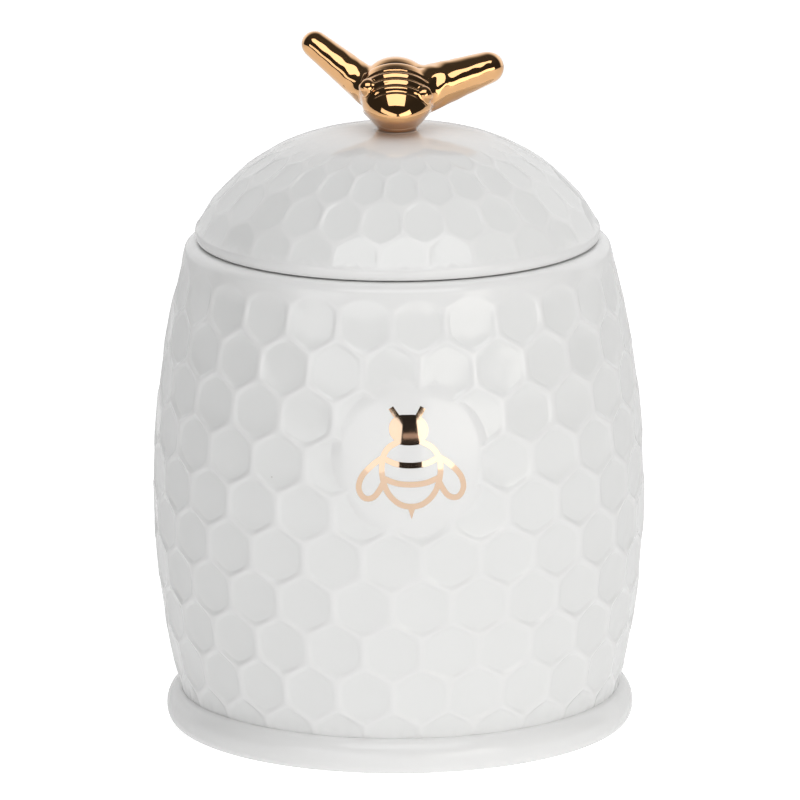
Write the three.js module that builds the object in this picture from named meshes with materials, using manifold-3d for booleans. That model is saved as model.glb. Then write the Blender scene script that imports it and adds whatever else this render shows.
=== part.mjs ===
// A lidded honey pot of white glazed porcelain. The jar and the domed lid have a honeycomb of shallow hollows,
// a smooth round medallion on the front has a gold bee, and a gilt bee with raised wings is the lid's knob.
// Millimetres, +Z up. The origin is the middle of the foot's underside, and the front faces -Y.
import * as THREE from "three";
import { mergeVertices } from "three/addons/utils/BufferGeometryUtils.js";
import Module from "manifold-3d";

const wasm = await Module();
wasm.setup();

// Jar
const JAR_HEIGHT = 104.35; // table to the flat of the rim
const BELLY_RADIUS = 52.45; // widest, over the ridges of the honeycomb
const BELLY_LEVEL = 50;
const SHOULDER_RADIUS = 44.7; // where the side reaches the level of the rim
const WAIST_RADIUS = 46.9; // where the side meets the foot
const SHOULDER_ROUND = 2.2;
const JAR_WALL = 4;
const BASE_THICKNESS = 4.5;
const FLOOR_ROUND = 9; // inner corner between the floor and the side
const THROAT_DEPTH = 9; // straight part of the mouth, for the seal
const THROAT_BLEND = 6; // height over which the throat runs out into the side

// Foot flange
const FOOT_HEIGHT = 6.5;
const FOOT_RADIUS = 49.9;
const FOOT_WIDEST_LEVEL = 2.8;
const FOOT_EDGE_ROUND = 1.7; // how far the standing edge lies inside the widest line
const FOOT_RING_WIDTH = 5; // the unglazed ring that the pot stands on
const FOOT_RECESS = 1.8;
const FOOT_SINK = 2; // how far the side runs down inside the flange

// Honeycomb
const COLUMNS = 26;
const ROW_PITCH = 9.97;
const TOP_ROW_DROP = 8.15; // rim to the middle of the first whole row
const PATTERN_TURN_DEG = 5.2; // middle of a cell of the top row, to the right of the front
const RIDGE_INSET = 1.2; // crest of a ridge to the flat floor of a hollow
const HOLLOW_DEPTH = 0.7;
const LID_ROWS = 4;
const LID_ROW_PITCH = 9;
const LID_FIRST_ROW = 2.8; // widest line of the lid to the middle of its lowest row, along the dome
const LID_PATTERN_TURN_DEG = 1.7;

// Medallion and the gold bee on it
const MEDALLION_RADIUS = 16.5;
const MEDALLION_RISE = 0.25; // over the ridges
const MEDALLION_LEVEL = 68.5;
const MEDALLION_TURN_DEG = 2.9;
const EMBLEM_WIDTH = 23.4;
const EMBLEM_HEIGHT = 24.5;
const EMBLEM_DROP = 0.6; // middle of the bee under the middle of the medallion
const EMBLEM_STROKE = 1.2;
const EMBLEM_THICKNESS = 0.5;
const EMBLEM_GAP = 0.3;

// Lid
const SEAT_GAP = 0.3; // flat of the rim to the underside of the lip
const LID_INSET = 1.7; // how far the lid's widest line lies inside the jar's shoulder
const LIP_HEIGHT = 1.7; // underside to the widest line
const LIP_EDGE_ROUND = 0.6;
const LIP_BAND = 0.9; // smooth band over the widest line
const LIP_BAND_ROUND = 0.8;
const DOME_RISE = 21.6; // widest line to the crown
const DOME_CROWN_POWER = 2.8; // a higher power flattens the crown
const DOME_FLANK_POWER = 1.2; // a lower power straightens the flank
const LID_WALL = 4.2;
const COLLAR_CLEARANCE = 2; // throat to the collar
const COLLAR_WALL = 3;
const COLLAR_DEPTH = 9;
const COLLAR_CHAMFER = 0.6;

// Seal round the collar
const SEAL_DROP = 3; // underside of the lip to the top of the seal
const SEAL_HEIGHT = 3;
const SEAL_GROOVE = 1;
const SEAL_GAP = 0.3; // to the groove and to the throat

// Gilt bee
const KNOB_SEAT_RADIUS = 4.4;
const KNOB_SEAT_RISE = 0.4;
const NECK_BASE_RADIUS = 3.6;
const NECK_TOP_RADIUS = 6.9;
const NECK_HEIGHT = 3.4;
const BEE_RISE = 8.15; // seat to the middle of the bee
const BEE_RADIUS = 7.7;
const BEE_HALF_LENGTH = 11.6;
const BEE_HEIGHT_SHARE = 0.86; // height of the body to its width
const BEE_YAW_DEG = -10;
const BEE_PITCH_DEG = 25; // head down
const BEE_ROLL_DEG = 5; // left wing up
const RING_COUNT = 4; // raised rings behind the head
const WING_LENGTH = 26.3; // middle of the bee to the tip of a wing
const WING_CHORD = 7.6;
const WING_THICKNESS = 4.7;
const WING_SWEEP_DEG = 20;
const WING_RAISE_DEG = 17.7;
const WING_GAP = 0.3;

// Fineness
const SIDE_SEGMENTS = 60;
const INNER_SEGMENTS = 40;
const KNOB_SEGMENTS = 24;
const WING_SEGMENTS = 16;
const ROUND_STEPS = 3;
const SIDE_STEPS = 6;
const DOME_STEPS = 7;
const CROWN_RINGS = 3;
const STROKE_STEPS = 14;
const OVERRUN = 10; // how far a cut runs past what it cuts

const degrees = THREE.MathUtils.degToRad;
const mouthRadius = SHOULDER_RADIUS - JAR_WALL;
const lidRadius = SHOULDER_RADIUS - LID_INSET;
const collarRadius = mouthRadius - COLLAR_CLEARANCE;
const collarInnerRadius = collarRadius - COLLAR_WALL;
const grooveRadius = collarRadius - SEAL_GROOVE;
const lidLevel = JAR_HEIGHT + SEAT_GAP; // underside of the lip
const crownHeight = LIP_HEIGHT + DOME_RISE; // over the underside of the lip
const footRingRadius = FOOT_RADIUS - FOOT_EDGE_ROUND;
const floorLevel = FOOT_RECESS + BASE_THICKNESS;

// Solids

function toSolid(geometry) {
  const shell = geometry.clone();
  shell.deleteAttribute("normal");
  shell.deleteAttribute("uv");
  const merged = mergeVertices(shell);
  return new wasm.Manifold(
    new wasm.Mesh({
      numProp: 3,
      vertProperties: merged.attributes.position.array,
      triVerts: new Uint32Array(merged.index.array),
    }),
  );
}

function toGeometry(solid) {
  const mesh = solid.getMesh();
  const geometry = new THREE.BufferGeometry();
  geometry.setAttribute("position", new THREE.BufferAttribute(mesh.vertProperties, 3));
  geometry.setIndex(new THREE.BufferAttribute(mesh.triVerts, 1));
  geometry.computeVertexNormals();
  return geometry;
}

// A solid of revolution about Z from [radius, level] points, listed from the bottom up along the outside.
function turnedGeometry(points, segments) {
  const profile = points.map(([radius, level]) => new THREE.Vector2(radius, level));
  return new THREE.LatheGeometry(profile, segments).rotateX(Math.PI / 2);
}

function turned(points, segments) {
  return toSolid(turnedGeometry(points, segments));
}

// Points of a quarter ellipse from [fromRadius, fromLevel] to [toRadius, toLevel]. It leaves upright where
// upright is true, and level where it is false.
function quarter(fromRadius, fromLevel, toRadius, toLevel, upright) {
  const points = [];
  for (let step = 0; step <= ROUND_STEPS; step++) {
    const angle = (step / ROUND_STEPS) * (Math.PI / 2);
    const acrossShare = upright ? 1 - Math.cos(angle) : Math.sin(angle);
    const upShare = upright ? Math.sin(angle) : 1 - Math.cos(angle);
    points.push([
      THREE.MathUtils.lerp(fromRadius, toRadius, acrossShare),
      THREE.MathUtils.lerp(fromLevel, toLevel, upShare),
    ]);
  }
  return points;
}

// A point at a radius and a level. The turn is measured from the front, positive to the right.
function around(radius, level, turn) {
  return new THREE.Vector3(radius * Math.sin(turn), -radius * Math.cos(turn), level);
}

// Honeycomb

// A solid of revolution whose side is a honeycomb. place(level) gives the [radius, level] of the crest line, with
// level counted in row pitches from the middle of the lowest row. Cells of that row sit at even half columns
// where evenFirst is true. Smooth rings, and then a point on the axis, close the two ends.
function honeycomb({ place, rows, evenFirst, turnDeg, ringsBelow, ringsAbove }) {
  const positions = [];
  const halfColumns = 2 * COLUMNS;
  const turnOf = (half) => degrees(turnDeg) + (Math.PI * (half % halfColumns)) / COLUMNS;
  const crest = (half, third) => around(...place(third / 3), turnOf(half + halfColumns));
  const face = (...corners) => corners.forEach((corner) => positions.push(...corner.toArray()));
  const isMiddle = (half, row) => (half + row + (evenFirst ? 0 : 1)) % 2 === 0;

  function cell(half, row) {
    const third = 3 * row;
    const rim = [
      crest(half, third + 2),
      crest(half - 1, third + 1),
      crest(half - 1, third - 1),
      crest(half, third - 2),
      crest(half + 1, third - 1),
      crest(half + 1, third + 1),
    ];
    const middle = rim.reduce((sum, corner) => sum.add(corner), new THREE.Vector3()).divideScalar(rim.length);
    const along = crest(half, third + 1).sub(crest(half, third - 1));
    const across = rim[5].clone().sub(rim[1]);
    const outward = across.cross(along).normalize();
    const floor = rim.map((corner) => {
      const spoke = corner.clone().sub(middle);
      spoke.addScaledVector(outward, -spoke.dot(outward));
      return middle
        .clone()
        .addScaledVector(spoke, 1 - RIDGE_INSET / spoke.length())
        .addScaledVector(outward, -HOLLOW_DEPTH);
    });
    rim.forEach((corner, i) => {
      const next = (i + 1) % rim.length;
      face(corner, rim[next], floor[next]);
      face(corner, floor[next], floor[i]);
      if (i > 1) face(floor[0], floor[i - 1], floor[i]);
    });
  }

  for (let row = 0; row < rows; row++)
    for (let half = 0; half < halfColumns; half++) if (isMiddle(half, row)) cell(half, row);

  const ring = ([radius, level]) => (half) => around(radius, level, turnOf(half + halfColumns));
  function close(edge, rings, upward) {
    let inner = edge;
    const strip = (low, high) => {
      for (let half = 0; half < halfColumns; half++) {
        face(low(half), low(half + 1), high(half + 1));
        face(low(half), high(half + 1), high(half));
      }
    };
    for (const place of rings) {
      const outer = ring(place);
      if (upward) strip(inner, outer);
      else strip(outer, inner);
      inner = outer;
    }
    const pole = new THREE.Vector3(0, 0, rings.at(-1)[1]);
    for (let half = 0; half < halfColumns; half++)
      if (upward) face(inner(half), inner(half + 1), pole);
      else face(inner(half + 1), inner(half), pole);
  }
  const lastRow = rows - 1;
  close((half) => crest(half, isMiddle(half, 0) ? -2 : -1), ringsBelow, false);
  close((half) => crest(half, 3 * lastRow + (isMiddle(half, lastRow) ? 2 : 1)), ringsAbove, true);

  const geometry = new THREE.BufferGeometry();
  geometry.setAttribute("position", new THREE.Float32BufferAttribute(positions, 3));
  return toSolid(geometry);
}

// Jar

// Radius of the side at a level, over the ridges: the side draws in as the square of the distance from the belly.
function sideRadius(level) {
  const above = level > BELLY_LEVEL;
  const reach = above ? JAR_HEIGHT - BELLY_LEVEL : BELLY_LEVEL - FOOT_HEIGHT;
  const drawIn = BELLY_RADIUS - (above ? SHOULDER_RADIUS : WAIST_RADIUS);
  return BELLY_RADIUS - drawIn * ((level - BELLY_LEVEL) / reach) ** 2;
}

function jarSide() {
  const foot = FOOT_HEIGHT - FOOT_SINK;
  const topRow = JAR_HEIGHT - TOP_ROW_DROP;
  const edge = ROW_PITCH / 3;
  const rowsBelow = Math.ceil((topRow - foot - edge) / ROW_PITCH);
  const rowsAbove = Math.ceil((TOP_ROW_DROP - edge) / ROW_PITCH);
  const rows = rowsBelow + 1 + rowsAbove;
  const place = (level) => {
    const height = topRow + (level - rowsBelow) * ROW_PITCH;
    return [sideRadius(height), height];
  };
  const relief = honeycomb({
    place,
    rows,
    evenFirst: rowsBelow % 2 === 0,
    turnDeg: PATTERN_TURN_DEG,
    ringsBelow: [place(-1)],
    ringsAbove: [place(rows)],
  });
  const shoulder = JAR_HEIGHT - SHOULDER_ROUND;
  const shoulderRadius = sideRadius(shoulder) + MEDALLION_RISE;
  const blank = turned(
    [
      [0, foot],
      [BELLY_RADIUS + OVERRUN, foot],
      [BELLY_RADIUS + OVERRUN, shoulder],
      ...quarter(shoulderRadius, shoulder, SHOULDER_RADIUS - SHOULDER_ROUND, JAR_HEIGHT, true),
      [0, JAR_HEIGHT],
    ],
    SIDE_SEGMENTS,
  );
  return relief.intersect(blank);
}

function footFlange() {
  return turned(
    [
      [0, 0],
      ...quarter(footRingRadius, 0, FOOT_RADIUS, FOOT_WIDEST_LEVEL, false),
      ...quarter(FOOT_RADIUS, FOOT_WIDEST_LEVEL, WAIST_RADIUS - RIDGE_INSET, FOOT_HEIGHT, true).slice(1),
      [0, FOOT_HEIGHT],
    ],
    SIDE_SEGMENTS,
  );
}

// A smooth round patch of the side, a little over the ridges.
function medallion() {
  const low = MEDALLION_LEVEL - MEDALLION_RADIUS;
  const high = MEDALLION_LEVEL + MEDALLION_RADIUS;
  const barrel = [];
  for (let step = -1; step <= SIDE_STEPS + 1; step++) {
    const level = THREE.MathUtils.lerp(low, high, step / SIDE_STEPS);
    barrel.push([sideRadius(level) + MEDALLION_RISE, level]);
  }
  barrel.unshift([0, barrel[0][1]]);
  barrel.push([0, barrel.at(-1)[1]]);
  const inside = mouthRadius;
  const outside = BELLY_RADIUS + OVERRUN;
  const punch = new THREE.CylinderGeometry(MEDALLION_RADIUS, MEDALLION_RADIUS, outside - inside, SIDE_SEGMENTS)
    .translate(0, -(inside + outside) / 2, 0)
    .rotateZ(degrees(MEDALLION_TURN_DEG))
    .translate(0, 0, MEDALLION_LEVEL);
  return turned(barrel, SIDE_SEGMENTS).intersect(toSolid(punch));
}

function cavity() {
  const floorRadius = sideRadius(floorLevel + FLOOR_ROUND) - JAR_WALL;
  const low = floorLevel + FLOOR_ROUND;
  const high = JAR_HEIGHT - THROAT_DEPTH - THROAT_BLEND;
  const points = [[0, floorLevel]];
  points.push(...quarter(floorRadius - FLOOR_ROUND, floorLevel, floorRadius, low, false));
  for (let step = 1; step <= SIDE_STEPS; step++) {
    const level = THREE.MathUtils.lerp(low, high, step / SIDE_STEPS);
    points.push([sideRadius(level) - JAR_WALL, level]);
  }
  points.push([mouthRadius, JAR_HEIGHT - THROAT_DEPTH]);
  points.push([mouthRadius, JAR_HEIGHT + OVERRUN]);
  points.push([0, JAR_HEIGHT + OVERRUN]);
  return turned(points, INNER_SEGMENTS);
}

function footRecess() {
  const radius = footRingRadius - FOOT_RING_WIDTH;
  return turned(
    [
      [0, -OVERRUN],
      [radius, -OVERRUN],
      [radius, 0],
      [radius - FOOT_RECESS, FOOT_RECESS],
      [0, FOOT_RECESS],
    ],
    INNER_SEGMENTS,
  );
}

function jarBody() {
  return jarSide().add(footFlange()).add(medallion()).subtract(cavity()).subtract(footRecess());
}

// Gold bee on the medallion

// Outline points as shares of the width and the height, from the middle of the bee. The left half is listed.
const HEAD_SHARES = [
  [0, 0.437],
  [-0.105, 0.437],
  [-0.16, 0.37],
  [-0.171, 0.31],
  [-0.15, 0.23],
  [-0.105, 0.175],
  [0, 0.16],
];
const ANTENNA_SHARES = [
  [-0.09, 0.42],
  [-0.15, 0.475],
];
const ABDOMEN_SHARES = [
  [-0.1, 0.17],
  [-0.2, 0.11],
  [-0.255, 0.01],
  [-0.257, -0.13],
  [-0.21, -0.27],
  [-0.11, -0.365],
  [0, -0.39],
];
const BAND_SHARES = [
  [
    [-0.245, 0.02],
    [-0.13, -0.03],
    [0, -0.045],
  ],
  [
    [-0.25, -0.155],
    [-0.13, -0.2],
    [0, -0.213],
  ],
];
const WING_LOOP_SHARES = [
  [-0.235, 0.04],
  [-0.33, -0.02],
  [-0.44, -0.13],
  [-0.47, -0.24],
  [-0.42, -0.318],
  [-0.34, -0.31],
  [-0.28, -0.24],
  [-0.235, -0.15],
];
const STING_SHARES = [
  [-0.04, -0.38],
  [0, -0.5],
  [0.04, -0.38],
];

const emblemPoint = ([across, up]) => new THREE.Vector2(across * EMBLEM_WIDTH, up * EMBLEM_HEIGHT);
const mirrored = (points) => points.map(([across, up]) => [-across, up]).reverse();
const bothHalves = (points) => [...points, ...mirrored(points).slice(1)];

function plate(outline) {
  return toSolid(
    new THREE.ExtrudeGeometry(new THREE.Shape(outline), { depth: EMBLEM_THICKNESS, bevelEnabled: false }),
  );
}

// A line of even width along a smooth curve through the points.
function stroke(shares, steps) {
  const curve = new THREE.SplineCurve(shares.map(emblemPoint));
  const left = [];
  const right = [];
  for (let step = 0; step <= steps; step++) {
    const point = curve.getPointAt(step / steps);
    const tangent = curve.getTangentAt(step / steps);
    const normal = new THREE.Vector2(-tangent.y, tangent.x).multiplyScalar(EMBLEM_STROKE / 2);
    left.push(point.clone().add(normal));
    right.unshift(point.clone().sub(normal));
  }
  return plate([...right, ...left]);
}

function beeEmblem() {
  const sides = [(points) => points, mirrored];
  const lines = [stroke(bothHalves(ABDOMEN_SHARES), 2 * STROKE_STEPS)];
  for (const band of BAND_SHARES) lines.push(stroke(bothHalves(band), STROKE_STEPS / 2));
  for (const side of sides) {
    lines.push(stroke(side(WING_LOOP_SHARES), STROKE_STEPS));
    lines.push(stroke(side(ANTENNA_SHARES), 1));
  }
  lines.push(plate(bothHalves(HEAD_SHARES).slice(0, -1).map(emblemPoint)));
  lines.push(plate(STING_SHARES.map(emblemPoint)));
  const flat = toGeometry(lines.reduce((sum, line) => sum.add(line)));
  const position = flat.attributes.position;
  const middle = MEDALLION_LEVEL - EMBLEM_DROP;
  for (let i = 0; i < position.count; i++) {
    const level = middle + position.getY(i);
    const face = sideRadius(level) + MEDALLION_RISE;
    const turn = degrees(MEDALLION_TURN_DEG) + position.getX(i) / face;
    const bent = around(face + EMBLEM_GAP + position.getZ(i), level, turn);
    position.setXYZ(i, bent.x, bent.y, bent.z);
  }
  return toSolid(flat);
}

// Lid, with level zero at the underside of its lip

// The outer side of the dome from its widest line to the crown.
class Dome extends THREE.Curve {
  getPoint(t) {
    const angle = t * (Math.PI / 2);
    const radius = lidRadius * Math.max(0, Math.cos(angle)) ** (2 / DOME_CROWN_POWER);
    const level = LIP_HEIGHT + DOME_RISE * Math.sin(angle) ** (2 / DOME_FLANK_POWER);
    return new THREE.Vector2(t === 1 ? 0 : radius, level);
  }
}
const dome = new Dome();

function lidSide() {
  const length = dome.getLength();
  const edge = LID_ROW_PITCH / 3;
  const rowsBelow = Math.max(0, Math.ceil((LID_FIRST_ROW - edge) / LID_ROW_PITCH));
  const rows = LID_ROWS + rowsBelow;
  const onDome = (distance) => {
    if (distance < 0) return [lidRadius, LIP_HEIGHT + distance];
    return dome.getPointAt(distance / length).toArray();
  };
  const distanceOf = (level) => LID_FIRST_ROW + (level - rowsBelow) * LID_ROW_PITCH;
  const top = distanceOf(rows - 1 / 3);
  const crownRings = [];
  for (let ring = 1; ring <= CROWN_RINGS; ring++)
    crownRings.push(onDome(THREE.MathUtils.lerp(top, length, ring / (CROWN_RINGS + 1))));
  crownRings.push([KNOB_SEAT_RADIUS, crownHeight]);
  const relief = honeycomb({
    place: (level) => onDome(distanceOf(level)),
    rows,
    evenFirst: rowsBelow % 2 === 0,
    turnDeg: LID_PATTERN_TURN_DEG,
    ringsBelow: [onDome(distanceOf(-1))],
    ringsAbove: crownRings,
  });
  const blank = turned(
    [
      [0, LIP_HEIGHT],
      [lidRadius + OVERRUN, LIP_HEIGHT],
      [lidRadius + OVERRUN, crownHeight + OVERRUN],
      [0, crownHeight + OVERRUN],
    ],
    SIDE_SEGMENTS,
  );
  return relief.intersect(blank);
}

function lip() {
  const bandTop = LIP_HEIGHT + LIP_BAND;
  return turned(
    [
      [0, 0],
      ...quarter(lidRadius - LIP_EDGE_ROUND, 0, lidRadius, LIP_HEIGHT, false),
      ...quarter(lidRadius, LIP_HEIGHT, lidRadius - LIP_BAND_ROUND, bandTop, true).slice(1),
      [0, bandTop],
    ],
    SIDE_SEGMENTS,
  );
}

function collar() {
  const grooveTop = SEAL_GAP - SEAL_DROP;
  const grooveBottom = -SEAL_DROP - SEAL_HEIGHT - SEAL_GAP;
  return turned(
    [
      [0, -COLLAR_DEPTH],
      [collarRadius - COLLAR_CHAMFER, -COLLAR_DEPTH],
      [collarRadius, COLLAR_CHAMFER - COLLAR_DEPTH],
      [collarRadius, grooveBottom],
      [grooveRadius, grooveBottom],
      [grooveRadius, grooveTop],
      [collarRadius, grooveTop],
      [collarRadius, LIP_HEIGHT],
      [0, LIP_HEIGHT],
    ],
    INNER_SEGMENTS,
  );
}

function lidHollow() {
  const points = [
    [0, -COLLAR_DEPTH - OVERRUN],
    [collarInnerRadius, -COLLAR_DEPTH - OVERRUN],
  ];
  for (let step = 0; step <= DOME_STEPS; step++) {
    const outer = dome.getPointAt(step / DOME_STEPS);
    const tangent = dome.getTangentAt(step / DOME_STEPS);
    const radius = outer.x - LID_WALL * tangent.y;
    if (radius > 0 && radius < collarInnerRadius && step < DOME_STEPS)
      points.push([radius, outer.y + LID_WALL * tangent.x]);
  }
  points.push([0, crownHeight - LID_WALL]);
  return turned(points, INNER_SEGMENTS);
}

function knobSeat() {
  const top = crownHeight + KNOB_SEAT_RISE;
  return turned(
    [
      [0, crownHeight - KNOB_SEAT_RISE],
      [KNOB_SEAT_RADIUS, crownHeight - KNOB_SEAT_RISE],
      [KNOB_SEAT_RADIUS, top],
      [0, top],
    ],
    KNOB_SEGMENTS,
  );
}

function lidDome() {
  return lidSide().add(lip()).add(collar()).add(knobSeat()).subtract(lidHollow());
}

// A soft ring whose outer edge is a blunt lip that wipes the throat.
function sealGeometry() {
  const inner = grooveRadius + SEAL_GAP;
  const outer = mouthRadius - SEAL_GAP;
  const waist = (inner + outer) / 2;
  const bottom = -SEAL_DROP - SEAL_HEIGHT;
  return turnedGeometry(
    [
      [inner, bottom],
      [waist, bottom],
      [outer, bottom + SEAL_HEIGHT / 2],
      [waist, -SEAL_DROP],
      [inner, -SEAL_DROP],
      [inner, bottom],
    ],
    INNER_SEGMENTS,
  );
}

// Gilt bee, with its middle at the origin and its head towards -Y

// Lengths along the body, from the tip of the head, and radii, as shares of the half length and the radius.
const HEAD_PROFILE_SHARES = [
  [0, 0],
  [0.05, 0.28],
  [0.17, 0.5],
  [0.34, 0.64],
  [0.46, 0.69],
];
const TAIL_PROFILE_SHARES = [
  [0.84, 0.99],
  [1.05, 1],
  [1.25, 0.95],
  [1.29, 0.9],
  [1.33, 0.9],
  [1.5, 0.8],
  [1.7, 0.62],
  [1.87, 0.4],
  [1.97, 0.18],
  [2, 0],
];
const RINGS_FROM_SHARE = 0.48;
const RINGS_TO_SHARE = 0.76;
const RING_GROOVE_SHARE = 0.035; // depth of the groove between two rings
const RING_RADIUS_SHARES = [0.72, 0.94]; // first and last ring
const RING_FLAT_SHARES = [0.25, 0.75]; // where the flat of a ring starts and ends, of its pitch

function beeProfile() {
  const shares = [...HEAD_PROFILE_SHARES];
  const pitch = (RINGS_TO_SHARE - RINGS_FROM_SHARE) / RING_COUNT;
  for (let ring = 0; ring < RING_COUNT; ring++) {
    const from = RINGS_FROM_SHARE + ring * pitch;
    const radius = THREE.MathUtils.lerp(...RING_RADIUS_SHARES, ring / (RING_COUNT - 1));
    shares.push([from, radius - RING_GROOVE_SHARE]);
    for (const flat of RING_FLAT_SHARES) shares.push([from + pitch * flat, radius]);
  }
  shares.push(...TAIL_PROFILE_SHARES);
  return shares.map(([along, out]) => [out * BEE_RADIUS, (along - 1) * BEE_HALF_LENGTH]);
}

// The body without its rings, larger all round by a gap, to cut the wings to.
function beeBlank(gap) {
  return new THREE.SphereGeometry(1, 2 * KNOB_SEGMENTS, KNOB_SEGMENTS).scale(
    BEE_RADIUS + gap,
    BEE_HALF_LENGTH + gap,
    BEE_RADIUS * BEE_HEIGHT_SHARE + gap,
  );
}

function inFlight(geometry) {
  return geometry.rotateY(degrees(BEE_ROLL_DEG)).rotateZ(degrees(BEE_YAW_DEG));
}

function beeBody() {
  const ovoid = turnedGeometry(beeProfile(), KNOB_SEGMENTS)
    .rotateX(-Math.PI / 2)
    .scale(1, 1, BEE_HEIGHT_SHARE)
    .rotateX(degrees(BEE_PITCH_DEG));
  const neck = turned(
    [
      [0, -BEE_RISE],
      [NECK_BASE_RADIUS, -BEE_RISE],
      [NECK_TOP_RADIUS, NECK_HEIGHT - BEE_RISE],
      [0, 0],
    ],
    KNOB_SEGMENTS,
  );
  return toSolid(inFlight(ovoid)).add(neck);
}

// Lengths along a wing from the middle of the bee, and half chords, as shares of its length and half chord.
const WING_OUTLINE_SHARES = [
  [0.1, 0],
  [0.1, 0.7],
  [0.35, 0.76],
  [0.6, 0.9],
  [0.8, 1],
  [0.9, 0.9],
  [0.96, 0.65],
  [0.99, 0.35],
  [1, 0],
];

// One wing: a rounded paddle that swells towards its tip. side is 1 for the right wing and -1 for the left.
function beeWing(side) {
  const outline = WING_OUTLINE_SHARES.map(([along, out]) => [(out * WING_CHORD) / 2, along * WING_LENGTH]);
  const paddle = turnedGeometry(outline, WING_SEGMENTS)
    .rotateY(Math.PI / 2)
    .scale(1, 1, WING_THICKNESS / WING_CHORD)
    .rotateY(-degrees(WING_RAISE_DEG))
    .rotateZ(degrees(WING_SWEEP_DEG));
  if (side < 0) paddle.scale(-1, 1, 1).index.array.reverse();
  const blank = beeBlank(WING_GAP).rotateX(degrees(BEE_PITCH_DEG));
  return toSolid(inFlight(paddle)).subtract(toSolid(inFlight(blank)));
}

// Assembly

const porcelain = { color: "#eeeeec", roughness: 0.12, metalness: 0 };
const gold = { color: "#d9a066", roughness: 0.12, metalness: 1 };
const silicone = { color: "#e9e7e1", roughness: 0.6, metalness: 0 };

function piece(name, geometry, finish) {
  const mesh = new THREE.Mesh(geometry, new THREE.MeshStandardMaterial(finish));
  mesh.name = name;
  return mesh;
}

const bee = new THREE.Group();
bee.position.z = crownHeight + KNOB_SEAT_RISE + BEE_RISE;
bee.add(
  piece("bee_body", toGeometry(beeBody()), gold),
  piece("bee_left_wing", toGeometry(beeWing(-1)), gold),
  piece("bee_right_wing", toGeometry(beeWing(1)), gold),
);

const lid = new THREE.Group();
lid.position.z = lidLevel;
lid.add(piece("lid_dome", toGeometry(lidDome()), porcelain), piece("lid_seal", sealGeometry(), silicone), bee);

const honeyPot = new THREE.Group();
honeyPot.add(
  piece("jar_body", toGeometry(jarBody()), porcelain),
  piece("bee_emblem", toGeometry(beeEmblem()), gold),
  lid,
);

export default honeyPot;
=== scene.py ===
from math import asin, atan2, cos, hypot, pi, radians, sin, sqrt, tan

import bmesh
import bpy
import numpy as np
from mathutils import Matrix, Quaternion, Vector


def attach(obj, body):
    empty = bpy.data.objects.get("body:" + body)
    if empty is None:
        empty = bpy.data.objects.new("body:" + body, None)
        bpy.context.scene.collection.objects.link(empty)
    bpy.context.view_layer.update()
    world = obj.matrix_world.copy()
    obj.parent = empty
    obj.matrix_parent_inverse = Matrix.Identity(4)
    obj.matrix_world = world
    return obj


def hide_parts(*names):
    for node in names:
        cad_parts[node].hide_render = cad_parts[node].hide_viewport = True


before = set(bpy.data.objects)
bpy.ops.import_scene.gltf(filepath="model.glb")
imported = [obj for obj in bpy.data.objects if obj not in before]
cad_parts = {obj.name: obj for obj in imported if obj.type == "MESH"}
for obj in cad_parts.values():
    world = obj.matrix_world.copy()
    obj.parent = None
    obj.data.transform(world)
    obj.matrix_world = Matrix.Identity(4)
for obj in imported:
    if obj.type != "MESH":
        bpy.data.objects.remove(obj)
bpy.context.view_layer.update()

MM = 0.001
scene = bpy.context.scene

# Camera. The pot was photographed through a long lens from about two metres, a little above its middle, so
# that its upright lines stay almost parallel. The camera is tilted a hair, which leans the pot to the left.
CAMERA_LENS = 450  # millimetres, for a 36 millimetre sensor
CAMERA_DISTANCE = 2130 * MM
CAMERA_ELEVATION = radians(13.5)
CAMERA_TILT = radians(-0.28)
CAMERA_AIM = Vector((0.34, 0, 69)) * MM

camera_data = bpy.data.cameras.new("studio_camera")
camera_data.lens = CAMERA_LENS
camera_data.clip_end = 10 * CAMERA_DISTANCE
camera = bpy.data.objects.new("studio_camera", camera_data)
towards_camera = Vector((0, -cos(CAMERA_ELEVATION), sin(CAMERA_ELEVATION)))
camera.location = CAMERA_AIM + towards_camera * CAMERA_DISTANCE
camera.rotation_mode = "QUATERNION"
facing = (-towards_camera).to_track_quat("-Z", "Y")
camera.rotation_quaternion = facing @ Quaternion((0, 0, 1), CAMERA_TILT)
scene.collection.objects.link(camera)
scene.camera = camera
scene.view_settings.view_transform = "Standard"


# Jar. The real one is cast in a plaster mould from white porcelain slip, so the honeycomb outside and the
# smooth wall inside are one skin about 4 mm thick. The clear glaze is shown all over it, also on the ring
# that it stands on.
JAR_HEIGHT = 104.35 * MM
BELLY_RADIUS = 52.42 * MM
BELLY_LEVEL = 50 * MM
SHOULDER_RADIUS = 44.7 * MM
WAIST_RADIUS = 46.9 * MM
FOOT_HEIGHT = 6.5 * MM  # level at which the waist is measured
SHOULDER_ROUND = 2.2 * MM
SHOULDER_ROLL = 2.9 * MM  # how far in the round of the shoulder reaches, under the edge of the lid
RIM_ROUND = 0.8 * MM
RIM_WIDTH = 1 * MM  # level part of the rim next to the mouth, with its rounding
JAR_WALL = 4 * MM
FLOOR_LEVEL = 6.3 * MM
FLOOR_ROUND = 9 * MM
THROAT_DEPTH = 9 * MM
THROAT_BLEND = 6 * MM
THROAT_ROUND = 3 * MM
FLANGE_TOP = 7.2 * MM  # where the side meets the foot flange
FLANGE_TOP_RADIUS = 47.2 * MM
FLANGE_CORNER = (0.22 * MM, 0.08 * MM)  # softens the corner there, inwards and down
FLANGE_RADIUS = 49.9 * MM
FLANGE_WIDEST_LEVEL = 2.9 * MM
STANDING_RADIUS = 48.2 * MM  # outer edge of the ring that the jar stands on
STANDING_WIDTH = 5 * MM
RECESS_DEPTH = 1.8 * MM
RECESS_ROUND = 0.8 * MM

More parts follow.
